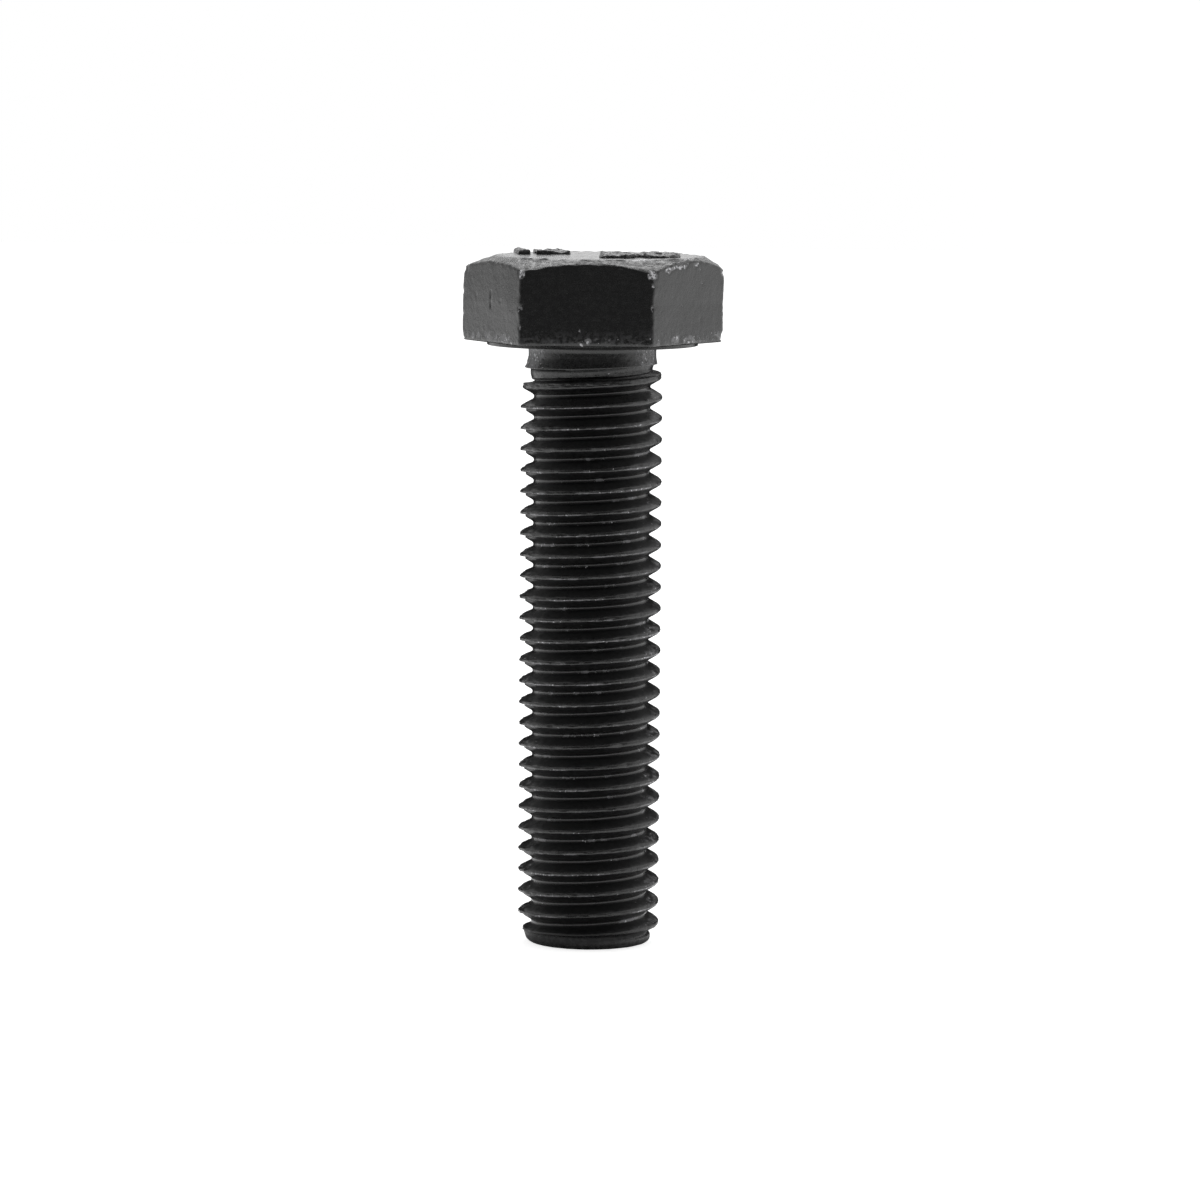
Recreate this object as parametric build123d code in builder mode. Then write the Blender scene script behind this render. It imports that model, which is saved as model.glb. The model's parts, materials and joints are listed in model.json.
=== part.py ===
"""Hex bolt, M12 x 1.75 x 50 with a 19 mm head, threaded up to a short plain neck.

The bolt is forged in one piece from one steel blank, so it is one solid. The origin is the
centre of the bearing face under the head. +Z points up to the top of the head, two of whose
corners lie on the X axis, and the shank hangs down to -Z. The threaded length is drawn as the
cylinder that the thread's crests touch.
"""

import os
from math import cos, radians, tan

from build123d import *

# Driving dimensions in millimetres. An M12 bolt of this kind may be 18.67 to 19 across its flats,
# 7.32 to 7.68 high in the head and 11.70 to 11.97 over its crests, and 49.5 to 50.5 long under
# the head. This one lies at the small end of each.
across_flats = 18.7
head_height = 7.35
under_head_length = 49.7
crest_diameter = 11.75

# Head: a hexagon turned inside a barrel, whose conical top leaves a round flat
top_flat_diameter = 17.1
top_chamfer_angle = 30
hex_edge_radius = 0.3
barrel_clearance = 0.5
underside_corner_cut = 0.4
underside_cut_angle = 45
washer_face_diameter = 17.4
washer_face_height = 0.3
under_head_radius = 0.5

# Shank: the neck keeps the diameter of the blank that the thread is rolled on, and the crests
# rise from it to their full height over the run-out.
neck_diameter = 10.8
neck_length = 1.9
first_full_crest = 3.0
point_chamfer = 1.15
point_edge_radius = 0.3

# Head radii and the height of the barrel's shoulder. The barrel clears the hexagon's corners.
hex_corner_radius = across_flats / 2 / cos(radians(30))
barrel_radius = hex_corner_radius + barrel_clearance
barrel_shoulder = head_height - (barrel_radius - top_flat_diameter / 2) * tan(
    radians(top_chamfer_angle)
)
underside_radius = hex_corner_radius - underside_corner_cut
underside_shoulder = washer_face_height + (barrel_radius - underside_radius) * tan(
    radians(underside_cut_angle)
)
top_flat_radius = top_flat_diameter / 2
washer_face_radius = washer_face_diameter / 2

# Shank radii
crest_radius = crest_diameter / 2
neck_radius = neck_diameter / 2
neck_fillet_radius = neck_radius + under_head_radius
point_radius = crest_radius - point_chamfer

with BuildPart() as hex_bolt:
    # Hexagon, with its six upright edges a little rounded
    with BuildSketch(Plane.XY.offset(washer_face_height)):
        RegularPolygon(radius=across_flats / 2, side_count=6, major_radius=False)
    extrude(amount=head_height - washer_face_height)
    fillet(hex_bolt.edges().filter_by(Axis.Z), radius=hex_edge_radius)

    # Barrel: its cone cuts an arc into the top of each flat, and the corners are cut under too
    with BuildSketch(Plane.XZ):
        with BuildLine():
            Polyline(
                (0, washer_face_height),
                (underside_radius, washer_face_height),
                (barrel_radius, underside_shoulder),
                (barrel_radius, barrel_shoulder),
                (top_flat_radius, head_height),
                (0, head_height),
                close=True,
            )
        make_face()
    revolve(axis=Axis.Z, mode=Mode.INTERSECT)

    # Washer face, neck and shank: the neck meets the bearing face in a small fillet, the blank
    # swells from the neck to the first full crest, and the point is turned to a chamfer
    with BuildSketch(Plane.XZ):
        with BuildLine():
            Polyline(
                (neck_radius, -under_head_radius),
                (neck_radius, -neck_length),
                (crest_radius, -first_full_crest),
                (crest_radius, point_chamfer - under_head_length),
                (point_radius, -under_head_length),
                (0, -under_head_length),
                (0, washer_face_height),
                (washer_face_radius, washer_face_height),
                (washer_face_radius, 0),
                (neck_fillet_radius, 0),
            )
            RadiusArc(
                (neck_fillet_radius, 0),
                (neck_radius, -under_head_radius),
                radius=-under_head_radius,
            )
        make_face()
    revolve(axis=Axis.Z)
    fillet(hex_bolt.faces().sort_by(Axis.Z)[0].edges(), radius=point_edge_radius)

os.makedirs("parts", exist_ok=True)
hex_bolt.part.label = "hex_bolt"
export_step(hex_bolt.part, "parts/hex_bolt.step")
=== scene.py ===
# %% [markdown]
# # A hex bolt in black oxide steel
#
# A hex bolt is one piece of steel: a hexagonal head forged on the end of a round blank, and a
# thread rolled along the rest of the blank between two dies. Nothing moves and nothing comes
# apart. The solid model already fixes the sizes, so this lesson is about the surface: a thread
# that follows one formula, a head with the small faults of forging, and a thin dark finish that
# has rubbed off wherever the steel stands proud.

# %% Load the frame
import json
import math
import random
from types import SimpleNamespace

import bmesh
import bpy
from mathutils import Matrix, Vector, noise

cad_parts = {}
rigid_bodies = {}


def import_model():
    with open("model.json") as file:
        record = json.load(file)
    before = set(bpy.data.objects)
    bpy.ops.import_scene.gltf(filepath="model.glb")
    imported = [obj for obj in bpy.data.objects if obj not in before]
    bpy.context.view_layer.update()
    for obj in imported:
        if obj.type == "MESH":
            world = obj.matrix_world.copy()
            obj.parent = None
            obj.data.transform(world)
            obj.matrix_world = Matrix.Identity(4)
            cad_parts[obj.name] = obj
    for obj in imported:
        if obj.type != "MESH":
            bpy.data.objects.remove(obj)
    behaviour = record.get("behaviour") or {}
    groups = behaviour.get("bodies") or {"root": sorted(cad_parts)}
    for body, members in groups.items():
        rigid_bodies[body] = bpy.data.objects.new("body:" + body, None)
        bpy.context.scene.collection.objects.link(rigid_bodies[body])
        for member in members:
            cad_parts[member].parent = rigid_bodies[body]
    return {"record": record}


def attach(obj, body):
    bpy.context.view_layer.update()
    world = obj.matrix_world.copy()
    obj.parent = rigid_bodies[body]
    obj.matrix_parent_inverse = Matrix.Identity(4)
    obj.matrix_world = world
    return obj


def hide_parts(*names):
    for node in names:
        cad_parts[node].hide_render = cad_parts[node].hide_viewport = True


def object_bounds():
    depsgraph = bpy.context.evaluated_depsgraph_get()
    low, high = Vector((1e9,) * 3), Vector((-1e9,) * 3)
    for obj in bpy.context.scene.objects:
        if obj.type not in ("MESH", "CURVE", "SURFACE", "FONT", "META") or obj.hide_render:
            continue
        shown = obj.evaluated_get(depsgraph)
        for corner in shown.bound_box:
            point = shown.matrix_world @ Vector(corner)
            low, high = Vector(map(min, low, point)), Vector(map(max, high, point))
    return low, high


for leftover in list(bpy.data.objects):
    bpy.data.objects.remove(leftover)
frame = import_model()
cad_low, cad_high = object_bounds()
print("solid model, from", tuple(cad_low), "to", tuple(cad_high))

# %% [markdown]
# ## Sizes
#
# The frame is in metres and a bolt is better thought of in millimetres, so sizes are named in
# millimetres here and turned to metres when a mesh is finished. The origin is the centre of the
# bearing face under the head, the head is above it and the shank hangs below. The outer sizes
# are read from the solid model, so the two can't drift apart.

# %% Sizes in millimetres
mm = 0.001
head_height = cad_high.z / mm
shank_length = -cad_low.z / mm
flat_radius = cad_high.y / mm

mounts = {mount["name"]: mount for mount in frame["record"]["mounts"]}
crest_radius = mounts["thread"]["dims"]["r_mm"]
print(f"head {head_height:.2f} high and {2 * flat_radius:.2f} across flats")
print(f"shank {shank_length:.2f} long and {2 * crest_radius:.2f} over the crests")

# %% [markdown]
# ## Formulas in Geometry Nodes
#
# A thread is a formula: the radius at each height and angle. Geometry Nodes can work a formula
# out at every point of a mesh, but a formula drawn as boxes and wires is hard to read. A `Field`
# wraps one output socket, and its plus, minus and times each add a Math node, so the code below
# reads as it would on paper and still leaves an ordinary node tree behind.


# %% Field: sockets that add and multiply
class Field:
    """A number that the node tree works out at every point."""

    def __init__(self, tree, socket):
        self.tree = tree
        self.socket = socket

    def math(self, operation, *others):
        node = self.tree.nodes.new("ShaderNodeMath")
        node.operation = operation
        for socket, value in zip(node.inputs, (self, *others)):
            plug(self.tree, value, socket)
        return Field(self.tree, node.outputs[0])

    def __add__(self, other):
        return self.math("ADD", other)

    def __sub__(self, other):
        return self.math("SUBTRACT", other)

    def __mul__(self, other):
        return self.math("MULTIPLY", other)

    def __truediv__(self, other):
        return self.math("DIVIDE", other)

    def __neg__(self):
        return self.math("MULTIPLY", -1.0)


def plug(tree, value, socket):
    """Links a Field or a socket to a socket, or sets the socket's own value."""
    if isinstance(value, Field):
        value = value.socket
    if isinstance(value, bpy.types.NodeSocket):
        tree.links.new(value, socket)
    else:
        socket.default_value = value


def add_node(tree, kind, *values, **settings):
    """Adds a node, sets its properties by name and its inputs in order."""
    node = tree.nodes.new(kind)
    for name, value in settings.items():
        setattr(node, name, value)
    for value, socket in zip(values, node.inputs):
        if value is not None:
            plug(tree, value, socket)
    return node


def fade(field, start, end, low=0.0, high=1.0):
    """Goes smoothly from low to high as the field goes from start to end."""
    levels = (field, start, end, low, high)
    node = add_node(field.tree, "ShaderNodeMapRange", *levels, interpolation_type="SMOOTHSTEP")
    return Field(field.tree, node.outputs[0])


def blend(share, at_one, at_zero):
    """One field where the share is 1, another where it is 0, and a mixture between."""
    return (at_one - at_zero) * share + at_zero


# %% [markdown]
# ## The thread's section
#
# Cut through the thread, the flanks of an ISO metric ridge lean 30 degrees each way, its crest is
# a land an eighth of a pitch wide, and its root is an arc that touches both flanks. Rolling
# doesn't fill every crest alike: on one side of this bolt the crests are rounded to a nose, and
# on the other they keep a lip, where the two waves of steel that the die pushed up didn't quite
# meet. Distances are measured up or down from the middle of a crest or a root, so the same few
# lines draw every turn.

# %% Flanks, roots and noses
flank_slope = 1 / math.tan(math.radians(30))
arc_reach = math.cos(math.radians(30))
nose_curve = 0.27


def flank(size, distance):
    """Radius of a straight flank, at a distance from the middle of its crest."""
    return size["Crest radius"] - (distance - size["Crest land"] * 0.5) * flank_slope


def root(size, distance):
    """Radius of the arc between two flanks, at a distance from the middle of the root."""
    curve = size["Root curve"]
    valley = size["Crest radius"] - (size["Pitch"] - size["Crest land"]) * (flank_slope / 2)
    reach = distance.math("MINIMUM", curve * arc_reach)
    return valley + curve * 2.0 - (curve * curve - reach * reach).math("SQRT")


def nose(size, distance):
    """Radius of the arc that rounds a crest, at a distance from its middle."""
    point = size["Crest radius"] + size["Crest land"] * (flank_slope / 2)
    reach = distance.math("MINIMUM", nose_curve * arc_reach)
    return (-(reach * reach) + nose_curve**2).math("SQRT") + point - 2 * nose_curve


print(f"a flank falls {flank_slope:.3f} for each 1 along the bolt")

# %% [markdown]
# ## Where the thread begins
#
# Under the head the die only just reached the blank. The last turn of the ridge is lower and
# flat, above it the die pressed a shallow band into the neck, and steel was pushed over into a
# fold at the foot of the band. The neck above is a little shorter on one side, where the band
# climbs into it. Each of these comes and goes with `progress`, the number of turns along the
# helix, or with `side`, which is 1 on the -X side of the bolt and -1 on the +X side. So they run
# round the bolt without a break.

# %% Sizes where the thread begins
neck_length = 1.9
neck_lean = 0.18
first_crest_height = -5.18
crest_softness = 0.06
crest_clearance = 0.2

# The lip along a crest, and the radius of the step below it
lip_width = 0.12
lip_edge = 0.03
step_radius = 5.45

# How much lower the last turn is, and how far its end sinks
run_out_drop = 0.19
end_drop = 0.8

# The band, with the fold and the shoulder at its foot: heights are above the last crest
band_heights = (0.5, 1.1)
band_radii = (4.98, 5.10)
fold_height = 0.38
fold_tilt = 0.06
fold_depth = 0.28
fold_wall = 0.05
fold_reach = 0.05
fold_side_reach = 0.11
fold_narrowing = 0.03
shoulder_heights = (0.34, 0.26)
shoulder_drop = 0.3

# The undercut under the neck
undercut_heights = (0.14, 0.05)
undercut_depth = 0.12

# Where each of them comes in, in turns along the helix or by the side of the bolt
drop_turns = (0.55, 1.0)
end_turns = (1.5, 1.85)
run_out_turns = (0.6, 1.0)
fold_turns = (0.7, 1.0)
fold_end_turns = (1.5, 1.8)
lip_turns = (-0.3, -0.8)
lip_sides = (0.55, 0.95)
nose_sides = (-0.2, -0.8)
fold_sides = (0.96, 1.0)
undercut_sides = (0.2, 0.7)
print(f"first whole crest {-first_crest_height:.2f} below the head, neck {neck_length:.2f} long")


# %% Radius at a place on the helix
def neck_length_at(side):
    """The neck is shorter on the +X side, where the band climbs into it."""
    return side * neck_lean + (neck_length - neck_lean)


def ridge_top(size, progress):
    """The ridge is whole up to the run-out, then lower for a turn, then runs into the neck."""
    lowered = size["Crest radius"] - fade(progress, *drop_turns, 0.0, run_out_drop)
    return lowered - fade(progress, *end_turns, 0.0, end_drop)


def top_at(size, side, progress, distance):
    """The ridge's top: flat, or rounded to a nose on one side of the bolt."""
    flat = ridge_top(size, progress)
    return blend(fade(side, *nose_sides), flat.math("MINIMUM", nose(size, distance)), flat)


def band_radius(side, progress, above):
    """The band pressed into the neck, with the fold at its foot."""
    folded = fade(progress, *fold_turns) - fade(progress, *fold_end_turns)
    widest = fade(side, *fold_sides, fold_reach, fold_side_reach)
    half_width = -side.math("ABSOLUTE") * fold_narrowing + widest
    from_fold = (above - (side * fold_tilt + fold_height)).math("ABSOLUTE")
    fold = fade(from_fold, half_width, half_width + fold_wall, fold_depth, 0.0) * folded
    return fade(above, *band_heights, *band_radii) - fold


def thread_radius(size, turn, side, height):
    """Radius where `turn` of a full turn has gone by since the -X side, and where that is."""
    climb = (height - first_crest_height) / size["Pitch"] - turn
    crest_below = climb.math("FLOOR")
    above = (climb - crest_below) * size["Pitch"]
    below = size["Pitch"] - above
    progress = crest_below + turn

    # The ridge below this place, and the ridge above it, which has the lip
    top = top_at(size, side, progress, above)
    lower_ridge = flank(size, above).math("SMOOTH_MIN", top, crest_softness)
    next_top = top_at(size, side, progress + 1.0, below)
    upper_ridge = flank(size, below).math("SMOOTH_MIN", next_top, crest_softness)
    lipped = fade(side, *lip_sides) * fade(progress, *lip_turns)
    past_lip = fade(below, lip_width - lip_edge, lip_width + lip_edge)
    step = past_lip * (crest_radius + crest_clearance - step_radius) * lipped
    upper_ridge = upper_ridge.math("MINIMUM", -step + crest_radius + crest_clearance)

    # Between them lies the root, and in the run-out a steep shoulder and the band
    run_out = fade(progress, *run_out_turns)
    shoulder = blend(fade(above, *shoulder_heights), top, band_radii[0] - shoulder_drop)
    lower_ridge = blend(run_out, shoulder, lower_ridge)
    from_root = (above - size["Pitch"] * 0.5).math("ABSOLUTE")
    valley = blend(run_out, band_radius(side, progress, above), root(size, from_root))

    # The undercut is on one side only
    under_neck = -height - neck_length_at(side)
    undercut = fade(under_neck, *undercut_heights, 0.0, undercut_depth)
    valley = valley - undercut * fade(side, *undercut_sides)
    radius = lower_ridge.math("MAXIMUM", upper_ridge).math("MAXIMUM", valley)
    return radius, above, below, progress


# %% [markdown]
# ## Neck and point
#
# The neck between thread and head is plain. It leaves the head by a small fillet, runs straight
# and flares a little where the band was pressed in below it. The far end of the bolt is tapered
# before the thread is rolled, so the last ridge fades out on it, and its rim is worn round. Both
# are a little fuller on one side, as if the blank hadn't stood quite true in the dies.

# %% Outlines of the neck and the point
neck_radius = 5.27
neck_flare = 0.19
flare_lean = 0.09
flare_start = 0.85
under_head_radius = 0.5
end_radius = 5.13
end_lean = 0.02
end_slope = 0.15
slope_lean = 0.15
end_round = 0.45
taper_end = (1.0, 1.8)
taper_clearance = 1.2


def neck_outline(side, height):
    """The neck's radius, with its fillet at the top and its flare at the bottom."""
    # The flare is the first half of a smooth rise, so it is steepest at its foot
    share = fade(-height, flare_start, neck_length_at(side) * 2.0 - flare_start, 0.0, 2.0)
    flare = share * (side * flare_lean + neck_flare)
    rise = (height + under_head_radius).math("MAXIMUM", 0.0).math("MINIMUM", under_head_radius)
    run = (-(rise * rise) + under_head_radius**2).math("SQRT")
    return flare - run + (neck_radius + under_head_radius)


def point_outline(side, up):
    """The taper's radius, fuller on one side and with a worn corner at the very end."""
    short = -up.math("MINIMUM", end_round) + end_round
    corner = -(-(short * short) + end_round**2).math("SQRT") + end_round
    taper = up * (side * slope_lean + end_slope) + side * end_lean + end_radius
    return taper - corner + fade(up, *taper_end, 0.0, taper_clearance)


print(f"neck {2 * neck_radius:.2f} and end {2 * end_radius:.2f} in diameter")

# %% [markdown]
# ## One sheet, rolled up
#
# The whole shank is a single flat grid of points. Its columns are angles round the axis and its
# rows run down the bolt. Every row climbs one pitch in a turn, so the rows follow the ridges, and
# they are crowded where the section bends: at crests and roots. Rows above the neck and below the
# end are held at those heights, where they fall on each other and are merged away. The very first
# row is a point inside the head, and the last few shrink to the middle of the end face.
#
# The two long edges of the sheet meet one pitch apart, so merging them closes the surface without
# a seam. A spiral swept along a curve would have been quicker to write, but it leaves a gap at
# each end, and it can't change its section as it goes.

# %% The grid of the shank
columns = 136
rows_per_pitch = 24
crowding = 0.5
neck_rows = 24
neck_start = 0.3
top_climb = 2.0
bottom_climb = -26.5
cap_rows = 10
thread_rows = int((top_climb - bottom_climb) * rows_per_pitch)
total_rows = neck_rows + 1 + thread_rows + cap_rows
print(f"sheet of {total_rows} rows by {columns} columns")


def row_height(size, row, turn, side):
    """Level rows down the neck, then rows that climb a pitch in a turn."""
    neck_end = neck_length_at(side)
    neck_height = -(row - 1.0) * ((neck_end + neck_start) / (neck_rows - 1)) + neck_start
    along = (row - (neck_rows + 1.0)) / rows_per_pitch
    crowd = (along * (4 * math.pi)).math("SINE") * (crowding / (4 * math.pi))
    climb = -(along - crowd) + top_climb
    thread_height = (climb + turn) * size["Pitch"] + first_crest_height
    thread_height = thread_height.math("MINIMUM", -neck_end)
    in_neck = row.math("LESS_THAN", neck_rows + 0.5)
    return blend(in_neck, neck_height, thread_height).math("MAXIMUM", -shank_length)


# %% [markdown]
# ## Where a point of the sheet goes
#
# Each point of the sheet knows its row and its share of a turn, and from those two numbers
# follows its place on a bolt without faults. The fields that later steps need are kept together
# under one name, `here`.

# %% The flat sheet, and the true shape
point_softness = 0.05
point_heights = (0.6, 0.95)
standing_radii = (5.4, 5.6)
crest_distances = (0.22, 0.10)
whole_turns = (-0.2, -0.6)


def flat_sheet(tree, size):
    """A flat grid, and at each of its points the row and the share of a turn."""
    sheet = tree.nodes.new("GeometryNodeMeshGrid")
    sheet.inputs["Size X"].default_value = total_rows
    sheet.inputs["Size Y"].default_value = 1.0
    sheet.inputs["Vertices X"].default_value = total_rows + 1
    plug(tree, size["Columns"] + 1.0, sheet.inputs["Vertices Y"])
    place = tree.nodes.new("GeometryNodeInputPosition").outputs[0]
    flat = add_node(tree, "ShaderNodeSeparateXYZ", place)
    row = (Field(tree, flat.outputs["X"]) + total_rows / 2).math("ROUND")
    turn = Field(tree, flat.outputs["Y"]) + 0.5
    return sheet.outputs["Mesh"], row, turn


def true_place(tree, size, row, turn):
    """Where a point of the sheet lies on a bolt without faults."""
    here = SimpleNamespace()
    here.angle = turn * (2 * math.pi) - math.pi
    here.side = (turn * (2 * math.pi)).math("COSINE")
    here.height = row_height(size, row, turn, here.side)
    here.up = here.height + shank_length
    here.in_neck = row.math("LESS_THAN", neck_rows + 0.5)
    found = thread_radius(size, turn, here.side, here.height)
    thread, here.above, here.below, here.progress = found
    point = point_outline(here.side, here.up)
    tapered = thread.math("SMOOTH_MIN", point, point_softness)
    thread = blend(fade(here.up, *point_heights), tapered, point)
    here.radius = blend(here.in_neck, neck_outline(here.side, here.height), thread)

    # How near a crest it is, and whether the ridge stands whole there
    here.near_crest = here.above.math("MINIMUM", here.below)
    here.standing = fade(here.radius, *standing_radii)
    here.crest = fade(here.near_crest, *crest_distances) * here.standing
    here.whole = fade(here.progress, *whole_turns, 0.3, 1.0)
    return here


# %% [markdown]
# ## Faults
#
# Rolled steel isn't smooth under a finish this thin. A broad noise moves the whole surface by a
# few hundredths of a millimetre, and a fine one frays the ridges, most of all on the side with
# the lip. Nicks are bitten out of the crests, which knock against other bolts in the box, and
# small burrs stand on the upper flanks of the frayed side. All of it is read at points on a
# cylinder, so it closes up round the bolt.

# %% Noise on the cylinder
# A noise is a scale, in features per millimetre, and a detail, in octaves. Patches are a noise
# and the levels that it fades between.
broad_noise = (0.7, 5.0)
frayed_noise = (4.2, 3.0)
nicks = ((1.3, 4.0), (0.58, 0.68))
burrs = ((2.6, 2.0), (0.5, 0.62))


def noise_texture(tree, place, scale, detail):
    """Fractal noise from 0 to 1, in features a unit over the scale wide."""
    texture = tree.nodes.new("ShaderNodeTexNoise")
    plug(tree, place, texture.inputs["Vector"])
    texture.inputs["Scale"].default_value = scale
    texture.inputs["Detail"].default_value = detail
    return Field(tree, texture.outputs["Fac"])


def noise_at(tree, place, kind, seed):
    """Noise of one kind, at a place that the seed shifts."""
    shift = add_node(tree, "ShaderNodeCombineXYZ", seed, seed, 0.0)
    moved = add_node(tree, "ShaderNodeVectorMath", place, shift.outputs[0], operation="ADD")
    return noise_texture(tree, moved.outputs[0], *kind)


def patches_at(tree, place, patches, seed):
    """Soft patches of one kind."""
    kind, levels = patches
    return fade(noise_at(tree, place, kind, seed), *levels)


def spot_on_cylinder(tree, here, height):
    """A point on the cylinder of the crests, at the angle of this place."""
    round_x = here.angle.math("COSINE") * crest_radius
    round_y = here.angle.math("SINE") * crest_radius
    return add_node(tree, "ShaderNodeCombineXYZ", round_x, round_y, height).outputs[0]


def between(field, rise, fall):
    """1 between two heights, with a soft rise to it and a soft fall from it."""
    return fade(field, *rise) * fade(field, *fall)


# %% Roughness, nicks and burrs
broad_share = 0.4
frayed_share = 0.25
frayed_ridges = (1.5, 3.2)
frayed_sides = (0.3, 0.9)
burr_sides = (0.5, 0.9)
burr_zone = ((0.16, 0.3), (0.75, 0.5))


def roughened(tree, size, here):
    """The true radius, made rough, with nicks in the crests and burrs beside them."""
    seed = size["Seed"]
    broad = noise_at(tree, here.spot, broad_noise, seed) - 0.5
    frayed = noise_at(tree, here.spot, frayed_noise, seed) - 0.5
    ragged = here.standing * fade(here.side, *frayed_sides, *frayed_ridges) + frayed_share
    radius = here.radius + broad * size["Roughness"] * broad_share
    radius = radius + frayed * size["Roughness"] * ragged
    nick = patches_at(tree, here.spot, nicks, seed)
    radius = radius - nick * here.crest * size["Nick depth"]
    burr = patches_at(tree, here.spot, burrs, seed + 5.0)
    burr = burr * between(here.above, *burr_zone) * fade(here.side, *burr_sides)
    return radius + burr * here.whole * size["Burr"]


# %% [markdown]
# ## Wear, and highlights painted on the sides
#
# Three numbers go with every point of the finish. `wear` says where the oxide has rubbed through:
# along the lower edge of each crest, in some of the roots, in specks on the flanks of the -X and
# +X sides, and on the neck. It is stronger towards the -X and +X sides, the specks lie only there,
# and on the neck it lies at the sides: there the bright room lights the steel, and that much of it
# is a painted highlight as well as wear. `scuff` says where it is only dulled: on the crests of
# the
# +X side, on the worn end and where the die pressed the band, and on the neck and the band it too
# is stronger at the sides as a painted highlight. `matt` says where it is dull to begin with,
# which is on the flanks, and below 0 it says where the steel is polished.

# %% Wear, scuffs, painted side highlights and dull flanks
rubbed_patches = ((0.3, 2.0), (0.38, 0.6, 0.3, 1.0))
root_patches = ((0.5, 2.0), (0.5, 0.62))
streaks_round = ((1.4, 1.0), (0.4, 0.5, 0.2, 1.0))

# Where each kind of wear lies: distances from a crest, heights above the end, and sides
low_edge_distance = 0.09
low_edge_widths = (0.10, 0.03)
root_distances = (0.68, 0.78)
speck_zone = ((0.04, 0.14), (0.8, 0.5))
worn_and_lit_speck_sides = (0.6, 0.95)
more_wear_and_highlight_to_the_sides = (0.45, 0.85, 1.0, 1.4)
less_at_the_end = (1.2, 1.6, 0.3, 1.0)
neck_rub_and_highlight_sides = (0.5, 0.9)
left_neck_rub_and_highlight_sides = (0.4, 0.9)
scuffed_distances = (0.6, 0.2)
scuffed_sides = (-0.5, -0.9, 0.15, 0.6)
end_heights = (1.1, 0.9)
end_sides = (-0.3, -0.8)
flank_distances = ((0.12, 0.24), (0.66, 0.76))

# How strong it is
crest_wear = 0.3
root_wear = 0.7
neck_rub_and_highlight = 0.78
left_neck_rub_and_highlight = 0.2
speck_wear_and_highlight = (0.4, 0.26)


def bare_places(tree, seed, here, across, worn_and_lit_sides):
    """Where the oxide has rubbed through, with a painted highlight on the -X and +X sides."""
    patch = patches_at(tree, here.spot, rubbed_patches, seed)
    from_edge = (here.below - low_edge_distance).math("ABSOLUTE")
    low_edge = fade(from_edge, *low_edge_widths) * here.standing
    worn = low_edge.math("MAXIMUM", here.crest * crest_wear) * patch * here.whole
    in_root = fade(here.near_crest, *root_distances)
    in_root = in_root * patches_at(tree, here.spot, root_patches, seed)
    worn = worn.math("MAXIMUM", in_root * root_wear * here.whole)
    # Raised towards the -X and +X sides, where the room lights the thread: a painted highlight on
    # top of the wear
    worn = worn * fade(across, *more_wear_and_highlight_to_the_sides)
    in_patches, elsewhere = speck_wear_and_highlight
    # The specks lie only on those lit sides: worn specks and a painted highlight
    worn_and_lit_specks = between(here.above, *speck_zone) * fade(across, *worn_and_lit_speck_sides)
    worn_and_lit_specks = worn_and_lit_specks * (patch * in_patches + elsewhere)
    worn = worn.math("MAXIMUM", worn_and_lit_specks * here.whole) * fade(here.up, *less_at_the_end)
    # On the neck the wear lies only at the sides, where the room lights it: a painted highlight as
    # well as wear
    in_neck = worn_and_lit_sides * neck_rub_and_highlight + fade(here.side, *left_neck_rub_and_highlight_sides) * left_neck_rub_and_highlight
    return blend(here.in_neck, in_neck, worn)


def dulled_places(tree, seed, here, worn_and_lit_sides):
    """Where the oxide is scuffed, more at the sides of the neck and the band as a painted
    highlight.
    """
    crests = fade(here.near_crest, *scuffed_distances) * fade(here.side, *scuffed_sides)
    blunt_end = fade(here.up, *end_heights) * (fade(here.side, *end_sides) * 0.4 + 0.5)
    level_spot = spot_on_cylinder(tree, here, 0.0)
    streak = patches_at(tree, level_spot, streaks_round, seed)
    # At the sides of the band and the neck the scuff is stronger: a painted highlight as well as
    # scuff
    pressed = fade(here.progress, *run_out_turns) * (worn_and_lit_sides * 0.5 + 0.35) * streak
    scuffed = crests.math("MAXIMUM", blunt_end).math("MAXIMUM", pressed)
    return blend(here.in_neck, worn_and_lit_sides * 0.7 + 0.2, scuffed)


def finish_values(tree, size, here):
    """The three numbers that the finish reads, by name."""
    across = here.side.math("ABSOLUTE")
    # The sides of the neck and the band, where the finish is made lighter as a painted highlight
    worn_and_lit_sides = fade(across, *neck_rub_and_highlight_sides)
    leave_crest, reach_root = flank_distances
    flanks = fade(here.near_crest, *leave_crest) - fade(here.near_crest, *reach_root)
    return {
        "wear": bare_places(tree, size["Seed"], here, across, worn_and_lit_sides),
        "scuff": dulled_places(tree, size["Seed"], here, worn_and_lit_sides),
        "matt": flanks * here.whole * (-here.in_neck + 1.0),
    }


# %% [markdown]
# ## The tree of the shank
#
# Everything above comes together in one Geometry Nodes tree. Its inputs are the sizes that a
# maker would look up in a table, so another bolt is a change of numbers. The three numbers of the
# finish are stored on the points as attributes.

# %% Build the tree
shank_inputs = {
    "Columns": ("NodeSocketInt", columns),
    "Seed": ("NodeSocketFloat", 3.0),
    "Pitch": ("NodeSocketFloat", 1.75),
    "Crest radius": ("NodeSocketFloat", crest_radius),
    "Crest land": ("NodeSocketFloat", 0.22),
    "Root curve": ("NodeSocketFloat", 0.25),
    "Nick depth": ("NodeSocketFloat", 0.09),
    "Burr": ("NodeSocketFloat", 0.2),
    "Roughness": ("NodeSocketFloat", 0.10),
    "Finish": ("NodeSocketMaterial", None),
}
merge_distance = 0.002


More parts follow.
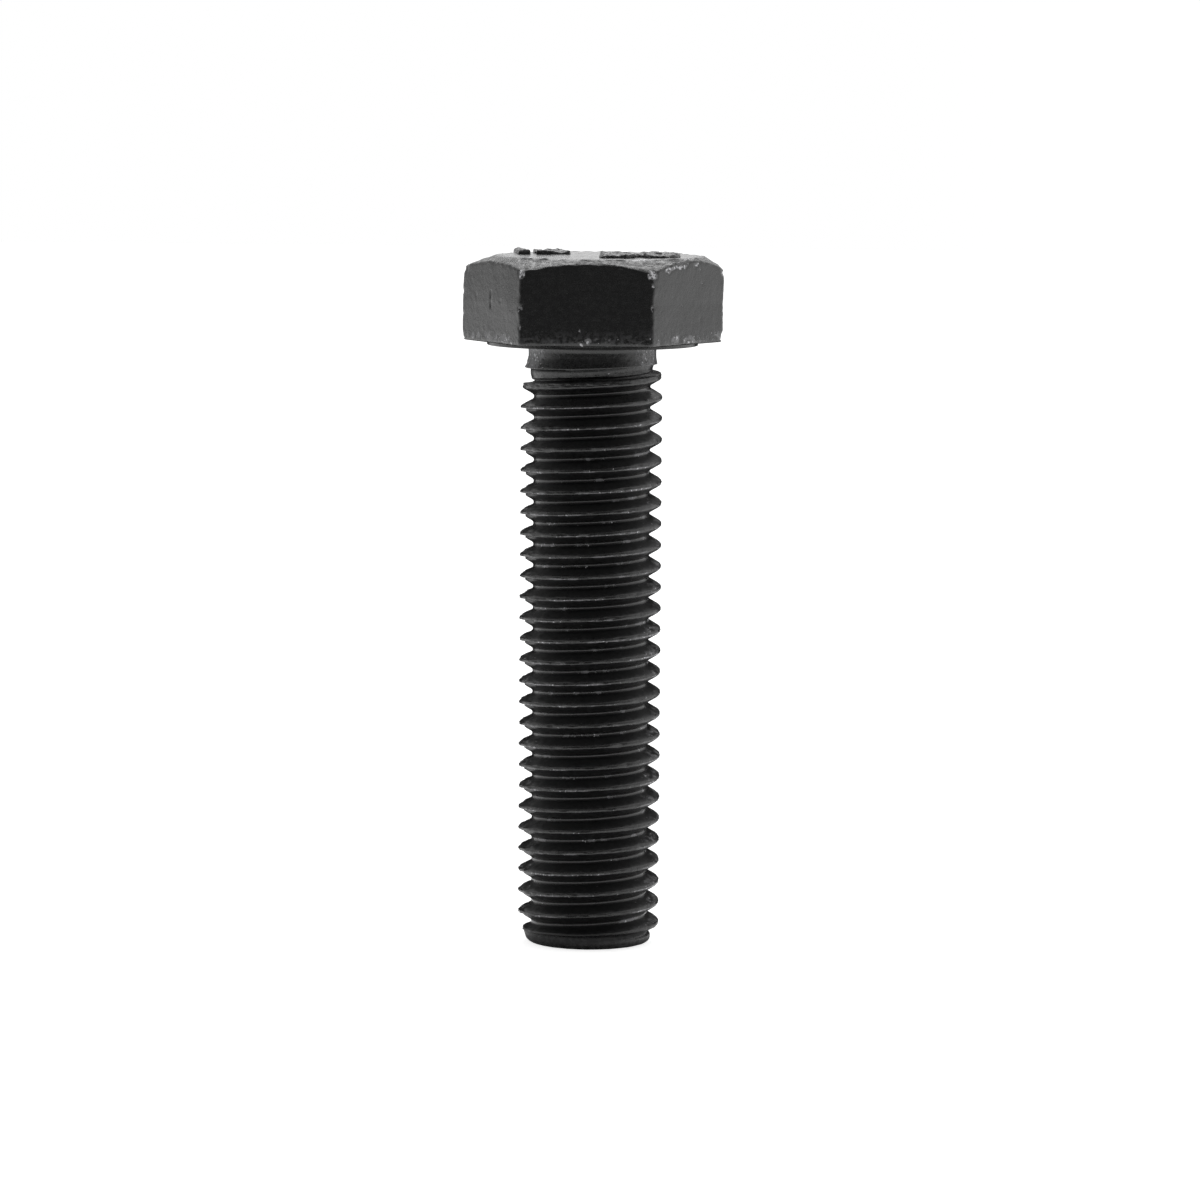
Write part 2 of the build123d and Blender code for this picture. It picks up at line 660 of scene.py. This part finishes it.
def shank_tree():
    """The whole shank, from the flat sheet to a closed mesh in metres."""
    tree = bpy.data.node_groups.new("Threaded shank", "GeometryNodeTree")
    tree.interface.new_socket("Geometry", in_out="OUTPUT", socket_type="NodeSocketGeometry")
    for name, (kind, value) in shank_inputs.items():
        socket = tree.interface.new_socket(name, in_out="INPUT", socket_type=kind)
        if value is not None:
            socket.default_value = value
    start = tree.nodes.new("NodeGroupInput")
    size = {name: Field(tree, start.outputs[name]) for name in shank_inputs}
    sheet, row, turn = flat_sheet(tree, size)
    here = true_place(tree, size, row, turn)
    here.spot = spot_on_cylinder(tree, here, here.height)

    # The first row is a point, and the last rows close the end
    radius = roughened(tree, size, here)
    rows_past = row - (total_rows - cap_rows)
    radius = radius * fade(rows_past, 0.0, cap_rows, 1.0, 0.0) * row.math("GREATER_THAN", 0.5)

    # The numbers are stored before the points move, because that changes every field
    for name, value in finish_values(tree, size, here).items():
        stored = add_node(tree, "GeometryNodeStoreNamedAttribute", sheet, None, name, value)
        sheet = stored.outputs[0]
    x = here.angle.math("COSINE") * radius
    y = here.angle.math("SINE") * radius
    place = add_node(tree, "ShaderNodeCombineXYZ", x, y, here.height)
    rolled = add_node(tree, "GeometryNodeSetPosition", sheet, None, place.outputs[0])
    merged = add_node(tree, "GeometryNodeMergeByDistance", rolled.outputs[0])
    merged.inputs["Distance"].default_value = merge_distance
    smooth = add_node(tree, "GeometryNodeSetShadeSmooth", merged.outputs[0])
    metres = add_node(tree, "GeometryNodeTransform", smooth.outputs[0])
    metres.inputs["Scale"].default_value = (mm, mm, mm)
    real = add_node(tree, "GeometryNodeRealizeInstances", metres.outputs[0])
    finished = add_node(tree, "GeometryNodeSetMaterial", real.outputs[0], None, size["Finish"])
    plug(tree, finished.outputs[0], tree.nodes.new("NodeGroupOutput").inputs[0])
    print("the tree of the shank has", len(tree.nodes), "nodes")
    return tree


# %% [markdown]
# ## The finish
#
# Black oxide is a thin layer grown on the steel and sealed with oil. It is nearly black, and it
# shines like wax more than like metal. Handling dulls it in blotches, and edges rub through to
# grey steel with a few bright specks. One material carries all of it: noise in object
# coordinates for the grain, and the three stored attributes to say where the wear goes. Where
# those attributes were raised on the lit sides and along the rim and arcs of the head, the
# lighter rubbed and dulled tones are a painted highlight as well as wear.

# %% Black oxide steel
oxide_tone = 0.003
grain_tone = 0.006
rubbed_tone, rubbed_roughness = 0.22, 0.12
dulled_tone, dulled_roughness = 0.05, 0.25
smeared_tone, smeared_roughness = 0.02, 0.1
bare_tone = 0.6
plain_roughness = 0.2
grain_roughness = 0.1
matt_roughness = 0.12


def noise_in(tree, scale, detail, stretch=(1.0, 1.0, 1.0)):
    """Noise in object coordinates, with features about 1 / scale of a metre wide."""
    coordinates = tree.nodes.new("ShaderNodeTexCoord").outputs["Object"]
    stretched = add_node(tree, "ShaderNodeVectorMath", coordinates, stretch, operation="MULTIPLY")
    return noise_texture(tree, stretched.outputs[0], scale, detail)


def grey(tree, value):
    """A grey colour from a number, a touch towards blue as steel is."""
    return add_node(tree, "ShaderNodeCombineColor", value, value, value * 1.03).outputs[0]


def attribute(tree, name):
    """A number that was stored on the points of the mesh."""
    node = tree.nodes.new("ShaderNodeAttribute")
    node.attribute_name = name
    return Field(tree, node.outputs["Fac"])


def new_material(name):
    """A material and its node tree."""
    material = bpy.data.materials.new(name)
    material.use_nodes = True
    return material, material.node_tree


def black_oxide():
    """The one material of the bolt."""
    material, tree = new_material("black_oxide_steel")
    shader = tree.nodes["Principled BSDF"]
    shader.inputs["IOR"].default_value = 1.62

    # Grain about half a millimetre wide, fine grain, rolled streaks and scratches down the flats
    grain = noise_in(tree, 1800.0, 6.0)
    fine = noise_in(tree, 7000.0, 4.0)
    sparks = noise_in(tree, 4500.0, 1.0)
    streaks = noise_in(tree, 500.0, 3.0, (1.0, 1.0, 9.0))
    scratches = noise_in(tree, 900.0, 2.0, (6.0, 6.0, 0.7))
    mottle = noise_in(tree, 3200.0, 3.0)
    wear, scuff, matt = (attribute(tree, name) for name in ("wear", "scuff", "matt"))

    # Where the finish is rubbed through, bare in bright specks, dulled and smeared
    # The rubbed and bare tones follow `wear` and the dulled tone follows `scuff`, so where those
    # were raised on the lit sides and along the head's rim and arcs they are partly painted
    # highlight
    rubbed = fade(wear + (grain - 0.5) * 1.6 + (fine - 0.5) * 0.8, 0.55, 1.0)
    bare = fade(sparks + wear * 0.2, 0.81, 0.85)
    dulled = fade(mottle * 0.7 + grain * 0.3, 0.43, 0.58) * scuff
    smeared = fade(streaks, 0.56, 0.66) * (scuff * 0.5 + 0.1)
    tone = grain * grain_tone + oxide_tone + rubbed * rubbed_tone + dulled * dulled_tone
    tone = tone + smeared * smeared_tone + bare * bare_tone
    plug(tree, grey(tree, tone), shader.inputs["Base Color"])
    rough = grain * grain_roughness + rubbed * rubbed_roughness + dulled * dulled_roughness
    rough = rough + smeared * smeared_roughness + matt * matt_roughness + plain_roughness
    plug(tree, rough, shader.inputs["Roughness"])

    bump = tree.nodes.new("ShaderNodeBump")
    bump.inputs["Distance"].default_value = 0.07 * mm
    plug(tree, scuff * 0.5 + 0.2, bump.inputs["Strength"])
    plug(tree, mottle + fine * 0.4 - fade(scratches, 0.72, 0.8) * 0.5, bump.inputs["Height"])
    plug(tree, bump.outputs[0], shader.inputs["Normal"])
    print("the finish has", len(tree.nodes), "nodes")
    return material


finish = black_oxide()

# %% [markdown]
# ## Rolling the shank
#
# The tree is put on an empty mesh as a modifier, evaluated once, and kept as a plain mesh: the
# modifier has done its work, and the mesh carries no node tree. Then the mesh is checked. A
# closed shell has no open edge, and its volume says whether it faces outwards.

# %% Roll the shank
def add_object(name, data):
    """A new object in the scene."""
    thing = bpy.data.objects.new(name, data)
    bpy.context.scene.collection.objects.link(thing)
    return thing


def evaluate_to_mesh(host, name):
    """The evaluated result of an object's modifiers, as a plain object."""
    depsgraph = bpy.context.evaluated_depsgraph_get()
    mesh = bpy.data.meshes.new_from_object(host.evaluated_get(depsgraph))
    mesh.name = name
    bpy.data.objects.remove(host)
    return add_object(name, mesh)


def face_outwards(piece):
    """Recalculates the normals of a closed mesh so that they point out, and measures it."""
    shape = bmesh.new()
    shape.from_mesh(piece.data)
    bmesh.ops.recalc_face_normals(shape, faces=shape.faces)
    open_edges = sum(1 for edge in shape.edges if not edge.is_manifold)
    volume = shape.calc_volume(signed=True) / mm**3
    triangles = sum(len(face.verts) - 2 for face in shape.faces)
    shape.to_mesh(piece.data)
    shape.free()
    print(f"{piece.name}: {triangles} triangles, {open_edges} open edges, {volume:.0f} mm3")


host = add_object("shank host", bpy.data.meshes.new("shank host"))
modifier = host.modifiers.new("Threaded shank", "NODES")
modifier.node_group = shank_tree()
for item in modifier.node_group.interface.items_tree:
    if item.in_out == "INPUT":
        value = shank_inputs[item.name][1]
        modifier[item.identifier] = finish if item.name == "Finish" else value
shank = evaluate_to_mesh(host, "threaded_shank")
face_outwards(shank)

# %% [markdown]
# ## The head
#
# The head is a hexagonal bar with its top turned to a shallow cone, so that the cone leaves an
# arc on each flat. A grid is wrapped round it as well: each column is one upright section, drawn
# as a path of corner points with softened corners, and the columns sit closer together round the
# six upright edges. Every edge then has its own row of faces, which no boolean would give.
#
# A forged head is never quite true. Here the cone leans over the hexagon, and the upper part of
# the head leans a little over the shank.

# %% Sizes of the head
washer_face_radius = 8.7
washer_face_height = 0.3
top_flat_radius = 8.55
top_flat_shift = 0.42
chamfer_angle = 24.5
chamfer_lean = 5.5
head_lean = 0.035
upright_round = 0.42
upright_reach = 0.3
flat_columns = 60
corner_columns = 10
round_rows = 6


def outline_columns():
    """Points round the rounded hexagon, each with how near it is to an upright edge."""
    points = []
    half_turn = math.radians(30)
    centre_distance = (flat_radius - upright_round) / math.cos(half_turn)
    half_flat = centre_distance * math.sin(half_turn)
    for side in range(6):
        corner = math.radians(60 * side)
        centre = Vector((math.cos(corner), math.sin(corner))) * centre_distance
        for step in range(corner_columns):
            turn = corner + half_turn * (2 * step / corner_columns - 1)
            outward = Vector((math.cos(turn), math.sin(turn)))
            points.append((centre + outward * upright_round, 1.0))
        middle = corner + half_turn
        across = Vector((math.cos(middle), math.sin(middle)))
        aside = Vector((-across.y, across.x))
        for step in range(flat_columns):
            offset = half_flat * (2 * step / flat_columns - 1)
            nearness = max(0.0, 1 - (half_flat - abs(offset)) / upright_reach)
            points.append((across * flat_radius + aside * offset, nearness))
    return points


print("columns round the head:", len(outline_columns()))

# %% [markdown]
# ## One section of the head
# A section runs from the middle of the top, over the cone, down the flat and under to the middle
# of the bearing face. Each corner of the path has three numbers: how far the softening reaches,
# how worn the edge is, and how many rows lead up to it. On the rim and on the arcs the wear is
# also a painted highlight: it draws the bright lines that light makes along those edges.

# %% Path of a section
def softened_path(corners):
    """Points along a path with softened corners, each with the wear of the edge that it is on."""
    path = []
    start = corners[0][0]
    for index in range(1, len(corners)):
        corner, reach, wear, rows = corners[index]
        before = (corner - corners[index - 1][0]).normalized()
        leave = corner - before * reach
        for step in range(rows):
            path.append((start.lerp(leave, step / rows), 0.0))
        if reach:
            after = (corners[index + 1][0] - corner).normalized()
            start = corner + after * reach
            for step in range(round_rows):
                share = step / round_rows
                inward = leave.lerp(corner, share)
                onward = corner.lerp(start, share)
                path.append((inward.lerp(onward, share), wear))
    path.append((corner, 0.0))
    return path


def head_section(wall):
    """One upright section, from the middle of the top to the middle of the underside."""
    direction = wall.normalized()
    shift = Vector((top_flat_shift, 0.0))
    rim = shift + direction * top_flat_radius
    slope = math.tan(math.radians(chamfer_angle + chamfer_lean * direction.x))
    arc_height = head_height - (wall - rim).length * slope
    washer = direction * washer_face_radius
    return softened_path(
        [
            (Vector((*shift, head_height)), 0.0, 0.0, 0),
            # The wear of the rim and of the arcs below is partly a painted highlight along those
            # edges
            (Vector((*rim, head_height)), 0.22, 1.1, 20),
            (Vector((*wall, arc_height)), 0.16, 0.58, 9),
            (Vector((*wall, washer_face_height)), 0.35, 0.55, 40),
            (Vector((*washer, washer_face_height)), 0.05, 0.1, 6),
            (Vector((*washer, 0.0)), 0.05, 0.2, 2),
            (Vector((0.0, 0.0, 0.0)), 0.0, 0.0, 8),
        ]
    )


print("rows in a section:", len(head_section(Vector((flat_radius, 0.0)))))

# %% [markdown]
# ## Knocks
#
# A bolt is tipped into a box with a thousand others, and its corners meet theirs. Each knock is a
# small dent, and most have bare steel in them. The corners in front and at the two sides have the
# largest. A row of small knocks makes a scratch: a dark one stands on the flat at the left, and
# short bright ones lie along the arc at the right. A seeded random choice places the others, so
# that every run gives the same bolt.

# %% Places on the hexagon
corner_distance = flat_radius / math.cos(math.radians(30)) - 0.1
shoulder_height = 6.3


def on_corner(degrees, height, inset=0.0):
    """A point on an upright edge of the head."""
    turn = math.radians(degrees)
    distance = corner_distance - inset
    return Vector((math.cos(turn) * distance, math.sin(turn) * distance, height))


def on_flat(degrees, along, height, inset=0.0):
    """A point on one of the six flats, at a distance along it from its middle."""
    turn = math.radians(degrees)
    across = Vector((math.cos(turn), math.sin(turn), 0.0))
    aside = Vector((-across.y, across.x, 0.0))
    return across * (flat_radius - inset) + aside * along + Vector((0.0, 0.0, height))


# %% Where the head was knocked
chance = random.Random(12)
just_inside = 0.05

# A knock is a place, how far it reaches, how deep it is and how bare it leaves the steel
knocks = [
    (on_corner(240, shoulder_height - 0.05), 0.65, 0.14, 6.0),
    (on_corner(300, shoulder_height - 0.1), 0.7, 0.16, 6.0),
    (on_corner(180, shoulder_height + 0.1, 0.4), 1.2, 0.14, 1.6),
    (on_corner(180, 0.4), 0.7, 0.12, 1.6),
    (on_corner(0, shoulder_height - 0.1), 0.7, 0.18, 2.2),
    (on_corner(0, 0.5), 0.9, 0.2, 2.0),
    (on_flat(270, 0.2, 0.8, just_inside), 0.5, 0.03, 3.0),
]
for step in range(6):
    knocks.append((on_flat(210, 0.0, 3.3 + 0.22 * step), 0.2, 0.09, 0.0))
for _ in range(9):
    along = chance.uniform(-4.0, 1.2)
    height = 6.7 + 0.1 * along + chance.uniform(-0.15, 0.15)
    reach = chance.uniform(0.12, 0.24)
    for step in range(5):
        knocks.append((on_flat(330, along + 0.12 * step, height + 0.06 * step), reach, 0.03, 4.0))
for corner in (60, 120):
    knocks.append((on_corner(corner, shoulder_height - 0.3), chance.uniform(0.5, 0.9), 0.14, 2.2))
for corner in range(0, 360, 60):
    for _ in range(3):
        height = chance.uniform(0.4, shoulder_height)
        knocks.append((on_corner(corner, height), chance.uniform(0.2, 0.45), 0.06, 2.2))
for flat in range(30, 390, 60):
    for _ in range(7):
        along = chance.uniform(-4.8, 4.8)
        height = chance.choice((0.5, 6.9, chance.uniform(0.6, 6.5)))
        place = on_flat(flat, along, height, just_inside)
        knocks.append((place, chance.uniform(0.12, 0.3), 0.04, 2.5))
print(len(knocks), "knocks")


def knocked(place):
    """How deep a point of the head was knocked in, and how bare that left it."""
    uneven = 1 + noise.noise(place * 3.5)
    struck = 0.5 + 1.6 * noise.noise(place * 3.1 + Vector((3, 1, 7)))
    dent = bare = 0.0
    for centre, reach, depth, bareness in knocks:
        share = max(0.0, 1 - (place - centre).length / reach)
        near = share * share * (3 - 2 * share)
        dent += near * depth * uneven
        bare = max(bare, min(2.0, near * bareness * struck))
    return dent, bare


# %% [markdown]
# ## Building the head
#
# The sections are joined column by column. Then every point moves along its own normal: by broad
# noise, because no forged face is flat, by finer noise where the steel is rough, which is on the
# cone and at the edges, and inwards under each knock. The top is polished, the cone is scuffed,
# and the feet of the flats have rubbed against other bolts.

# %% Join the sections
def join_sections(sections):
    """A closed mesh in millimetres, with the wear of each of its points."""
    inner = len(sections[0]) - 2
    places = [place for section in sections for place, _ in section[1:-1]]
    wear = [edge for section in sections for _, edge in section[1:-1]]
    top_middle = len(places)
    places += [sections[0][0][0], sections[0][-1][0]]
    wear += [0.0, 0.0]
    faces = []
    for column in range(len(sections)):
        here = column * inner
        beside = (column + 1) % len(sections) * inner
        faces.append((top_middle, here, beside))
        faces.append((top_middle + 1, beside + inner - 1, here + inner - 1))
        for row in range(here, here + inner - 1):
            faces.append((row, row + 1, row + 1 + beside - here, row + beside - here))
    mesh = bpy.data.meshes.new("forged_head")
    mesh.from_pydata(places, [], faces)
    return mesh, wear


# %% Roughen the head
cone_start = 6.2
cone_normals = (0.5, 0.97)
cone_roughness = 0.036
flat_roughness = 0.008
waviness = 0.025
edge_unevenness = 0.08
upright_wear = 0.3
foot_height = 1.75
foot_fade = 0.9
foot_wear = 0.66
back_and_front = 0.6
cone_scuff = 0.8
foot_scuff = 0.6
top_scuff = 0.3
plain_scuff = 0.08


def roughen_point(place, normal, edge, upright):
    """How far a point of the head moves outwards, and its wear, scuff and matt."""
    on_wall = place.z > washer_face_height + 0.15 and place.xy.length > flat_radius - 0.3
    on_cone = place.z > cone_start and cone_normals[0] < normal.z < cone_normals[1]
    on_top = place.z > head_height - 0.1 and normal.z > cone_normals[1]
    edge = max(edge, upright_wear * upright * on_wall)
    roughness = cone_roughness if on_cone else flat_roughness
    outwards = waviness * noise.fractal(place * 0.25, 1.0, 2.0, 2)
    outwards += roughness * noise.fractal(place * 1.6, 0.8, 2.0, 4)
    outwards += edge_unevenness * edge * noise.noise(place * 1.6)
    dent, bare = knocked(place)

    # The foot of each flat is rubbed in streaks, less on the two that face straight back and front
    foot = min(1.0, max(0.0, (foot_height - place.z) / foot_fade)) * on_wall
    share = back_and_front if abs(place.y) > flat_radius - 0.5 else 1.0
    streaked = share * foot * (foot_wear + 0.9 * noise.noise(place * 1.3))
    patch = 0.55 + 0.8 * noise.noise(place * 0.45 + Vector((9, 2, 5)))
    wear = max(edge * max(0.0, patch), bare, streaked)
    scuff = cone_scuff if on_cone else foot_scuff * foot + top_scuff * on_top + plain_scuff
    return outwards - dent, wear, scuff, -1.0 * on_top


def dress(mesh, **values):
    """Stores numbers on the points of a mesh for the finish, and makes a piece of it."""
    for name, numbers in values.items():
        mesh.attributes.new(name, "FLOAT", "POINT").data.foreach_set("value", numbers)
    mesh.shade_smooth()
    mesh.materials.append(finish)
    return add_object(mesh.name, mesh)


def build_head():
    """The head in metres, with its faults."""
    columns_round = outline_columns()
    mesh, edges = join_sections([head_section(wall) for wall, _ in columns_round])
    inner = (len(mesh.vertices) - 2) // len(columns_round)
    normals = [vertex.normal.copy() for vertex in mesh.vertices]
    finish_rows = []
    for index, vertex in enumerate(mesh.vertices):
        place = vertex.co.copy()
        upright = columns_round[min(index // inner, len(columns_round) - 1)][1]
        found = roughen_point(place, normals[index], edges[index], upright)
        outwards = found[0] * (place.z > washer_face_height + 0.1)
        finish_rows.append(found[1:])
        vertex.co = place + normals[index] * outwards
        vertex.co.x += head_lean * max(0.0, place.z - head_height / 2)
        vertex.co *= mm
    wear, scuff, matt = zip(*finish_rows)
    return dress(mesh, wear=wear, scuff=scuff, matt=matt)


head = build_head()
face_outwards(head)

# %% [markdown]
# ## Numbers on the head
#
# The dies also raise marks on the top of a head. These are only the size: 12 for the thread and
# 50 for the length. Text gives the shapes, a voxel remesh melts its sharp corners as forging
# does, and noise leaves it uneven. The text is worked in millimetres and made a mesh before it is
# moved to its place.

# %% Raise the numbers
number_height = 0.28
number_swell = 0.26
melt_size = 0.1
melt_rounds = 12
number_wear = 0.45
number_scuff = 1.0

# Each number has its spacing, its size, its place on the head and its turn
numbers_on_head = (
    ("12", 0.9, 5.4, (-5.0, 3.2), 10.0),
    ("50", 1.0, 6.8, (3.75, -2.7), 8.0),
)


def raised_number(text, spacing, size, place, degrees):
    """A number as a plain mesh in millimetres, sunk a little into the top of the head."""
    curve = bpy.data.curves.new(text, "FONT")
    curve.body = text
    curve.size = size
    curve.align_x = "CENTER"
    curve.align_y = "CENTER"
    curve.extrude = number_height
    curve.offset = number_swell
    curve.space_character = spacing
    solid = evaluate_to_mesh(add_object(text, curve), "number " + text)
    melt = solid.modifiers.new("Melt", "REMESH")
    melt.mode = "VOXEL"
    melt.voxel_size = melt_size
    soften = solid.modifiers.new("Soften", "SMOOTH")
    soften.iterations = melt_rounds
    soften.factor = 0.5
    melted = evaluate_to_mesh(solid, "melted " + text)
    turn = Matrix.Rotation(math.radians(degrees), 4, "Z")
    move = Matrix.Translation(Vector((*place, head_height)))
    melted.data.transform(move @ turn)
    return melted


def join_numbers(parts):
    """One uneven piece from the numbers, in metres."""
    shape = bmesh.new()
    for part in parts:
        shape.from_mesh(part.data)
        bpy.data.objects.remove(part)
    for vertex in shape.verts:
        uneven = 0.16 * noise.noise(vertex.co * 1.5) + 0.09 * noise.noise(vertex.co * 4.0)
        vertex.co.z += uneven * (vertex.co.z > head_height)
        vertex.co.x += head_lean * head_height / 2
        vertex.co *= mm
    mesh = bpy.data.meshes.new("size_numbers")
    shape.to_mesh(mesh)
    shape.free()
    count = len(mesh.vertices)
    return dress(mesh, wear=[number_wear] * count, scuff=[number_scuff] * count)


numbers = join_numbers([raised_number(*number) for number in numbers_on_head])
face_outwards(numbers)

# %% [markdown]
# ## The camera
#
# The camera stands nearly half a metre away, a hand's width above the bearing face, and looks a
# little down with a long lens. Its place is worked out from the ways that it was moved: turned
# round the bolt, stood back and up, tilted and rolled.

# %% Camera
camera_distance = 438.45
camera_height = 24.76
camera_aside = 0.76
camera_turn = math.radians(3.24)
camera_tilt = math.radians(5.98)
camera_roll = math.radians(0.395)
camera_data = bpy.data.cameras.new("camera")
camera_data.lens = 159.64
camera_data.sensor_width = 36.0
camera_data.clip_start = 0.01
camera_data.clip_end = 20.0
camera = add_object("camera", camera_data)
round_bolt = Matrix.Rotation(camera_turn, 4, "Z")
stand = Matrix.Translation(Vector((camera_aside, -camera_distance, camera_height)) * mm)
tilt = Matrix.Rotation(math.pi / 2 - camera_tilt, 4, "X")
roll = Matrix.Rotation(camera_roll, 4, "Z")
camera.matrix_world = round_bolt @ stand @ tilt @ roll
bpy.context.scene.camera = camera
print("camera at", tuple(round(value, 3) for value in camera.matrix_world.translation))

# %% [markdown]
# ## A white room with a dark side
#
# Dark glossy steel shows what stands round it. The room is white at the sides and behind, a
# little more so on the right, and dim behind the camera. That is what makes the front flat nearly
# black and the two beside it grey. The strength follows the direction in the room, so it stays
# put when the camera moves. To the camera itself the room is plain white all round.

# %% World
dim_side = 0.21
dim_depths = (-0.7, 0.05)
side_strength = 0.73
behind_depths = (0.6, 1.0)
right_extra = 0.17
world = bpy.data.worlds.new("white room")
bpy.context.scene.world = world
world.use_nodes = True
sky = world.node_tree
background = sky.nodes["Background"]
background.inputs["Color"].default_value = (1, 1, 1, 1)
camera_ray = Field(sky, sky.nodes.new("ShaderNodeLightPath").outputs["Is Camera Ray"])
looking = sky.nodes.new("ShaderNodeTexCoord").outputs["Generated"]
direction = add_node(sky, "ShaderNodeSeparateXYZ", looking)
depth = Field(sky, direction.outputs["Y"])
walls = fade(depth, *behind_depths, side_strength, 1.0)
walls = Field(sky, direction.outputs["X"]) * right_extra + walls
room = fade(depth, *dim_depths, dim_side, 1.0) * walls
plug(sky, room.math("MAXIMUM", camera_ray), background.inputs["Strength"])
print("the dim side of the room has strength", dim_side)

# %% [markdown]
# ## Floor
#
# The floor is pale paper. Its material adds a glow for rays from the camera or by way of a shiny
# surface, so that it looks white without more light on the bolt, and it still takes the bolt's
# shadow. Round the bolt's foot the glow that shiny steel sees fades out with the distance: a
# painted shadow in the reflections.

# %% Floor
floor_half = 1.5
floor_front = -0.15
paper_tone = 0.75
paper_glow = 0.78
mirrored_share = 0.8
painted_shadow_reach = (0.005, 0.016)


def add_sheet(name, half_width, near_edge, far_edge, material):
    """A flat sheet between two level edges, each given by how far back it is and how high."""
    corners = [
        (-half_width, *near_edge),
        (half_width, *near_edge),
        (half_width, *far_edge),
        (-half_width, *far_edge),
    ]
    mesh = bpy.data.meshes.new(name)
    mesh.from_pydata(corners, [], [(0, 1, 2, 3)])
    mesh.materials.append(material)
    return add_object(name, mesh)


def white_paper():
    """Pale paper that glows for the camera, and for shiny surfaces outside a painted shadow at the
    foot.
    """
    material, tree = new_material("white paper")
    tree.nodes.remove(tree.nodes["Principled BSDF"])
    path = tree.nodes.new("ShaderNodeLightPath")
    mirrored = Field(tree, path.outputs["Is Glossy Ray"])
    mirrored = mirrored.math("MAXIMUM", path.outputs["Is Transmission Ray"])
    place = tree.nodes.new("ShaderNodeTexCoord").outputs["Object"]
    foot = (0.0, 0.0, -cad_low.z)
    from_foot = add_node(tree, "ShaderNodeVectorMath", place, foot, operation="ADD")
    distance = add_node(tree, "ShaderNodeVectorMath", from_foot.outputs[0], operation="LENGTH")
    # A painted shadow: the glow that shiny surfaces see fades out near the bolt's foot
    glow_outside_painted_shadow = fade(Field(tree, distance.outputs["Value"]), *painted_shadow_reach)
    seen = (mirrored * glow_outside_painted_shadow * mirrored_share).math("MAXIMUM", path.outputs["Is Camera Ray"])
    glow = add_node(tree, "ShaderNodeEmission", (1, 1, 1, 1), seen * paper_glow)
    diffuse = add_node(tree, "ShaderNodeBsdfDiffuse", (paper_tone, paper_tone, paper_tone, 1))
    both = add_node(tree, "ShaderNodeAddShader", diffuse.outputs[0], glow.outputs[0])
    plug(tree, both.outputs[0], tree.nodes["Material Output"].inputs["Surface"])
    return material


front_edge = (floor_front, cad_low.z)
back_edge = (floor_half, cad_low.z)
floor = add_sheet("floor", floor_half, front_edge, back_edge, white_paper())
print("floor at", round(cad_low.z, 4))

# %% [markdown]
# ## A dark card
#
# At its edges a round bolt mirrors whatever stands straight behind it, and against white paper
# the thread would lose its dark outline. A dark card stood behind a shiny thing gives the outline
# back. Here it is a little taller than the shank, and only shiny surfaces see it.

# %% Dark card
card_half = 0.025
card_behind = 0.025
card_top = 0.005
felt_tone = 0.05


def dark_felt():
    """Felt without any shine."""
    material, tree = new_material("dark felt")
    shader = tree.nodes["Principled BSDF"]
    shader.inputs["Base Color"].default_value = (felt_tone, felt_tone, felt_tone, 1)
    shader.inputs["Roughness"].default_value = 1.0
    return material


card_foot = (card_behind, cad_low.z)
card_head = (card_behind, card_top)
card = add_sheet("dark card", card_half, card_foot, card_head, dark_felt())
card.visible_camera = False
card.visible_diffuse = False
card.visible_shadow = False
print("card", card_behind, "behind the bolt")

# %% [markdown]
# ## One lamp
#
# A large softbox hangs above and behind, turned towards the bolt. The cone of the head and the
# rim above it mirror it, and it gives the bolt its soft shadow.

# %% Lamp
lamp_data = bpy.data.lights.new("top softbox", "AREA")
lamp_data.shape = "RECTANGLE"
lamp_data.size = 0.32
lamp_data.size_y = 0.5
lamp_data.energy = 1.2
lamp = add_object("top softbox", lamp_data)
lamp.location = (0.0, 0.424, 0.523)
lamp.rotation_euler.x = math.radians(-39)
print("lamp of", lamp_data.energy, "watts at", tuple(round(value, 3) for value in lamp.location))

# %% [markdown]
# ## Handing over
#
# The pieces stand for the one solid node of the model and ride on its one body.

# %% Hand over
for piece in (head, shank, numbers):
    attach(piece, "root")
    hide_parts("hex_bolt")
bpy.context.scene.view_settings.view_transform = "Standard"
